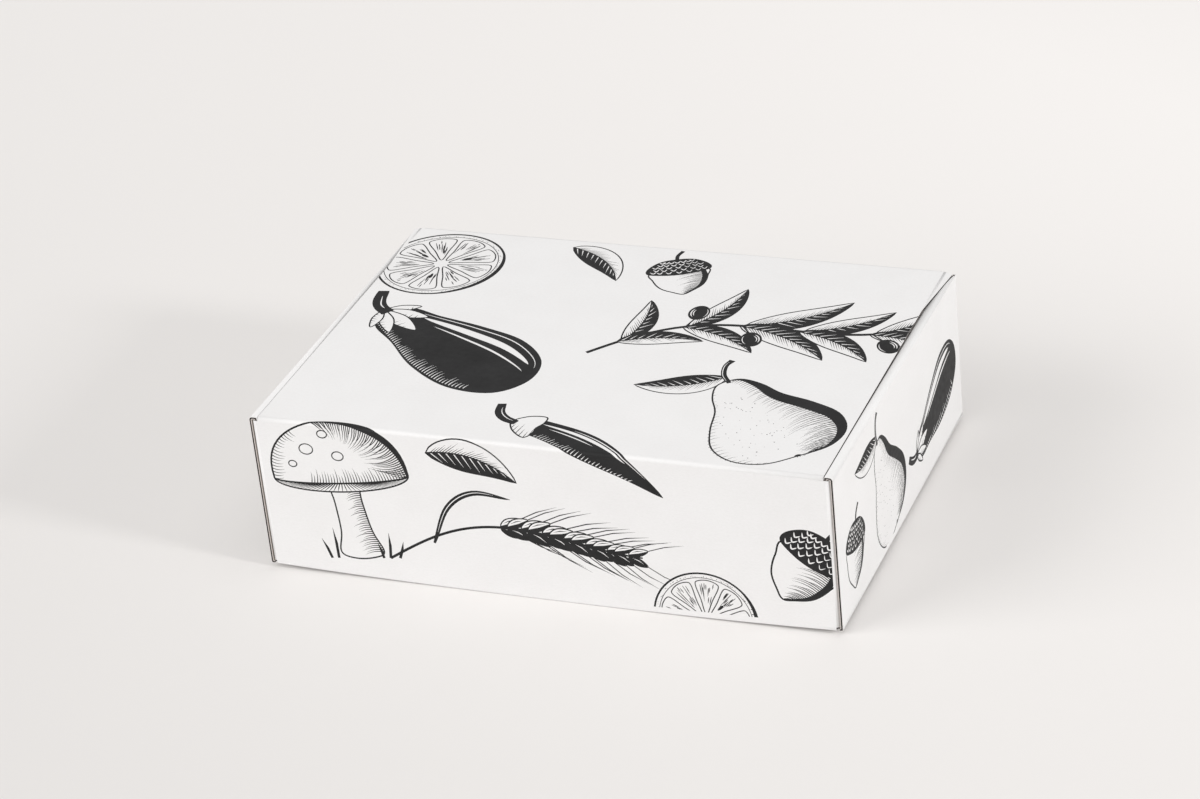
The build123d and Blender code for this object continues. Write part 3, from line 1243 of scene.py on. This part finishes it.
def floor_material():
    """Pale studio floor with painted light: a gradient, lighter towards one side, stands in for the uneven
    fall of light.
    """
    floor = Finish("studio_floor", on_floor=True)
    cloud = floor.ramp(floor.noise(0.9, 2.0), (0.3, (0.925, 0.906, 0.892)), (0.7, (0.935, 0.916, 0.902)))
    away = floor.node(
        "Mapping",
        Vector=floor.place,
        Location=(0.5, 0.0, 0.0),
        Rotation=(0.0, 0.0, -math.radians(floor_painted_light_turn)),
        Scale=(1 / floor_painted_light_run,) * 3,
    )
    slope = floor.node("TexGradient", Vector=away.outputs["Vector"]).outputs["Fac"]
    # Painted light: the floor is coloured darker and lighter across its width where the lamps' light falls
    # unevenly
    painted_light = floor.ramp(slope, (0.0, grey(floor_painted_light_low)), (1.0, grey(floor_painted_light_high)))
    return floor.done(floor.mix("MULTIPLY", 1.0, cloud, painted_light), 0.8, 0.1, {})


# Studio

camera_lens = 107.93
camera_sensor = 36.0
camera_place = (0.70757, -1.65765, 1.05139)
camera_forward = (-0.3478, 0.8047, -0.4812)
camera_up = (-0.0932, 0.4810, 0.8717)
floor_half = 6.0
# Painted light on the floor: turn, run and the two ends of a gradient that stands in for the fall of light
floor_painted_light_turn = 63.0
floor_painted_light_run = 1.2
floor_painted_light_low = 0.778
floor_painted_light_high = 1.038
world_strength = 0.564
light_colour = (1.0, 0.99, 0.98)
lamp_distance = 4.6
lamp_aim = (0.0, 0.0, 0.05)

# Lamps: turn from -Y towards +X and rise above the floor in degrees, size in metres, power in watts
lamps = {
    "key": (-50.0, 28.0, 3.2, 107.0),
    "fill": (80.0, 23.0, 0.7, 65.0),
    "top": (60.0, 72.0, 3.0, 32.0),
}


def camera():
    """Camera at the photograph's viewing angle."""
    data = bpy.data.cameras.new("camera")
    data.lens = camera_lens
    data.sensor_fit = "HORIZONTAL"
    data.sensor_width = camera_sensor
    view = placed("camera", data)
    ahead = Vector(camera_forward).normalized()
    right = ahead.cross(Vector(camera_up)).normalized()
    upward = right.cross(ahead)
    turn = Matrix((right, upward, -ahead)).transposed()
    view.matrix_world = Matrix.Translation(camera_place) @ turn.to_4x4()
    bpy.context.scene.camera = view


def softbox(name, turn, rise, size, power):
    """Square lamp that faces the box."""
    data = bpy.data.lights.new(name, "AREA")
    data.shape = "SQUARE"
    data.size = size
    data.energy = power
    data.color = light_colour
    turn, rise = math.radians(turn), math.radians(rise)
    level = lamp_distance * math.cos(rise)
    place = Vector((level * math.sin(turn), -level * math.cos(turn), lamp_distance * math.sin(rise)))
    lamp = placed(name, data)
    lamp.location = place
    lamp.rotation_euler = (Vector(lamp_aim) - place).to_track_quat("-Z", "Y").to_euler()


def studio():
    """Floor, lamps and a plain bright surround."""
    mesh = bpy.data.meshes.new("studio_floor")
    square = ((-1, -1), (1, -1), (1, 1), (-1, 1))
    corners = [(x * floor_half, y * floor_half, 0) for x, y in square]
    mesh.from_pydata(corners, [], [(0, 1, 2, 3)])
    mesh.materials.append(floor_material())
    floor = placed("studio_floor", mesh)
    world = bpy.data.worlds.new("surround")
    world.use_nodes = True
    surround = world.node_tree.nodes["Background"]
    surround.inputs["Color"].default_value = (*light_colour, 1.0)
    surround.inputs["Strength"].default_value = world_strength
    bpy.context.scene.world = world
    for name, setting in lamps.items():
        softbox(name, *setting)
    bpy.context.scene.view_settings.view_transform = "Standard"


pieces = sheet_pieces()
finishes = [
    white_liner(),
    printed_ink(),
    raw_board("board_inside", (0.465, 0.412, 0.362), (0.505, 0.452, 0.398), 0.84, ridged=True),
    # Near-black medium: painted shade of the flute hollows, much darker than the medium's own kraft colour
    raw_board("board_core_painted_shade", (0.034, 0.028, 0.026), (0.07, 0.059, 0.054), 0.7, ridged=False),
    liner_edge("outer_liner_edge", (0.66, 0.63, 0.61), (0.82, 0.80, 0.79)),
    liner_edge("inner_liner_edge", (0.58, 0.535, 0.515), (0.70, 0.65, 0.625)),
]
for piece in pieces.values():
    for finish in finishes:
        piece.data.materials.append(finish)
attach(pieces["mailer_tray"], "tray")
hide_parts("tray")
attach(pieces["mailer_lid"], "lid")
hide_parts("lid")
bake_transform(pieces["mailer_crease"])

camera()
studio()
